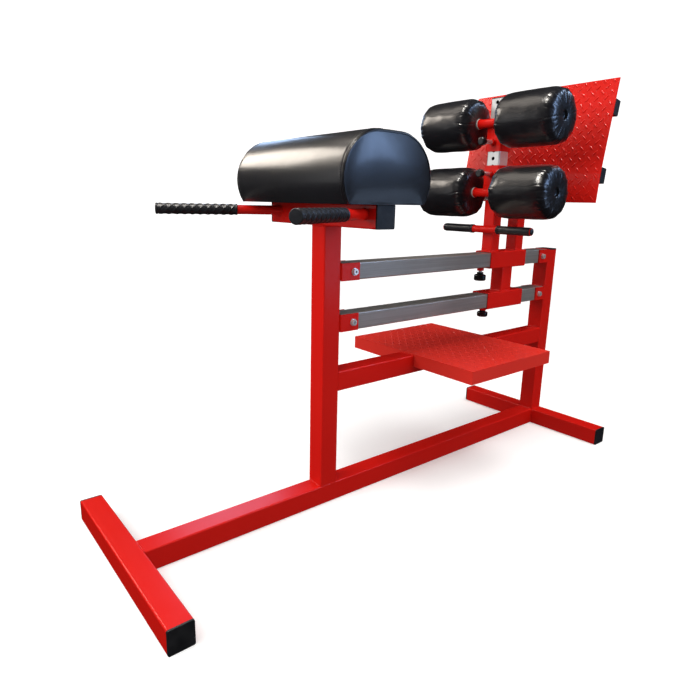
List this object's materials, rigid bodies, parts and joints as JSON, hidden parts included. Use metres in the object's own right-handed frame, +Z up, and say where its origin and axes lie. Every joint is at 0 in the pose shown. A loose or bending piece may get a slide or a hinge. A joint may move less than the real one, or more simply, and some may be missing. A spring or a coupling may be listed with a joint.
{
  "type": "roman chair exercise bench",
  "caption": "Free-standing roman chair: half-round hip pad and hand grips on a post, foot rollers and tread foot plate on a carriage that slides on twin rails.",
  "frame": {"origin": "on the floor, under the middle of the machine", "axes": "+X from the hand grips towards the foot plate, +Y across the machine, +Z up"},
  "size_m": [1.765, 0.7288, 1.3034],
  "materials": {
    "red_paint": "glossy red powder coat",
    "tread_paint": "glossy red powder coat over raised tread plate",
    "tray_paint": "glossy red powder coat over fine tread pattern",
    "plug_plastic": "moulded black plastic",
    "knob_plastic": "moulded black plastic, semi-gloss",
    "slide_nylon": "black nylon",
    "rail_steel": "dull brushed bare steel",
    "zinc_steel": "zinc-plated steel",
    "pin_steel": "turned bright steel",
    "bright_steel": "bright plated tube",
    "plywood": "raw plywood",
    "pad_vinyl": "black upholstery vinyl, semi-gloss",
    "roller_vinyl": "black upholstery vinyl, semi-gloss",
    "core_nylon": "natural nylon",
    "grip_rubber": "black ribbed rubber"
  },
  "bodies": {
    "floor_frame": {"floor_feet": "red_paint", "base_beam": "red_paint", "front_post": "red_paint", "rear_post": "red_paint", "mid_beam": "red_paint", "step_tray": "tray_paint", "square_plugs": "plug_plastic", "rail_brackets": "red_paint", "upper_rail": "rail_steel", "lower_rail": "rail_steel", "rail_bolts": "zinc_steel", "rail_washers": "zinc_steel", "rail_nuts": "zinc_steel", "cross_beam": "red_paint", "pad_board": "plywood", "pad_cushion": "pad_vinyl", "pad_bolts": "zinc_steel", "grip_bars": "red_paint", "grip_sleeves": "grip_rubber"},
    "carriage": {"upper_sleeve": "red_paint", "lower_sleeve": "red_paint", "slide_bushes": "slide_nylon", "sleeve_spacer": "red_paint", "roller_upright": "red_paint", "height_tube": "bright_steel", "height_tube_cap": "plug_plastic", "hand_bar": "red_paint", "hand_bar_grips": "grip_rubber", "plate_upright": "red_paint", "plate_upright_cap": "plug_plastic", "plate_wedge": "red_paint", "foot_plate": "tread_paint", "plate_cross_tubes": "red_paint", "plate_cross_plugs": "plug_plastic", "plate_spine": "red_paint"},
    "rail_pin": {"carriage_pin": "pin_steel", "carriage_pin_knob": "knob_plastic"},
    "rail_clamp": {"clamp_screw": "pin_steel", "clamp_knob": "knob_plastic"},
    "upper_roller_holder": {"upper_holder": "red_paint", "upper_axle_tube": "red_paint", "upper_axle": "pin_steel", "upper_axle_nuts": "pin_steel"},
    "upper_height_pin": {"upper_pin": "pin_steel", "upper_pin_knob": "knob_plastic"},
    "upper_left_roller_body": {"upper_left_roller": "roller_vinyl", "upper_left_core": "core_nylon"},
    "upper_right_roller_body": {"upper_right_roller": "roller_vinyl", "upper_right_core": "core_nylon"},
    "lower_roller_holder": {"lower_holder": "red_paint", "lower_axle_tube": "red_paint", "lower_axle": "pin_steel", "lower_axle_nuts": "pin_steel"},
    "lower_height_pin": {"lower_pin": "pin_steel", "lower_pin_knob": "knob_plastic"},
    "lower_left_roller_body": {"lower_left_roller": "roller_vinyl", "lower_left_core": "core_nylon"},
    "lower_right_roller_body": {"lower_right_roller": "roller_vinyl", "lower_right_core": "core_nylon"}
  },
  "joints": [
    {"name": "carriage_slide", "type": "slide", "parent": "floor_frame", "child": "carriage", "axis": [1, 0, 0], "range_m": [-0.405, 0.09]},
    {"name": "rail_pin_pull", "type": "slide", "parent": "carriage", "child": "rail_pin", "axis": [0, 0, -1], "range_m": [0, 0.012], "stiffness_N_per_m": 1500, "springref_m": -0.006},
    {"name": "rail_clamp_turn", "type": "hinge", "parent": "carriage", "child": "rail_clamp", "pos_m": [0.4725, 0, 0.51], "axis": [0, 0, -1], "range_deg": [0, 720]},
    {"name": "upper_holder_slide", "type": "slide", "parent": "carriage", "child": "upper_roller_holder", "axis": [0, 0, 1], "range_m": [0, 0.052]},
    {"name": "upper_height_pin_pull", "type": "slide", "parent": "upper_roller_holder", "child": "upper_height_pin", "axis": [-1, 0, 0], "range_m": [0, 0.012], "stiffness_N_per_m": 1500, "springref_m": -0.006},
    {"name": "upper_left_roller_spin", "type": "hinge", "parent": "upper_roller_holder", "child": "upper_left_roller_body", "pos_m": [0.4425, 0.15, 1.162], "axis": [0, 1, 0], "continuous": true},
    {"name": "upper_right_roller_spin", "type": "hinge", "parent": "upper_roller_holder", "child": "upper_right_roller_body", "pos_m": [0.4425, -0.15, 1.162], "axis": [0, 1, 0], "continuous": true},
    {"name": "lower_holder_slide", "type": "slide", "parent": "carriage", "child": "lower_roller_holder", "axis": [0, 0, 1], "range_m": [0, 0.026]},
    {"name": "lower_height_pin_pull", "type": "slide", "parent": "lower_roller_holder", "child": "lower_height_pin", "axis": [-1, 0, 0], "range_m": [0, 0.012], "stiffness_N_per_m": 1500, "springref_m": -0.006},
    {"name": "lower_left_roller_spin", "type": "hinge", "parent": "lower_roller_holder", "child": "lower_left_roller_body", "pos_m": [0.4425, 0.15, 0.934], "axis": [0, 1, 0], "continuous": true},
    {"name": "lower_right_roller_spin", "type": "hinge", "parent": "lower_roller_holder", "child": "lower_right_roller_body", "pos_m": [0.4425, -0.15, 0.934], "axis": [0, 1, 0], "continuous": true}
  ]
}
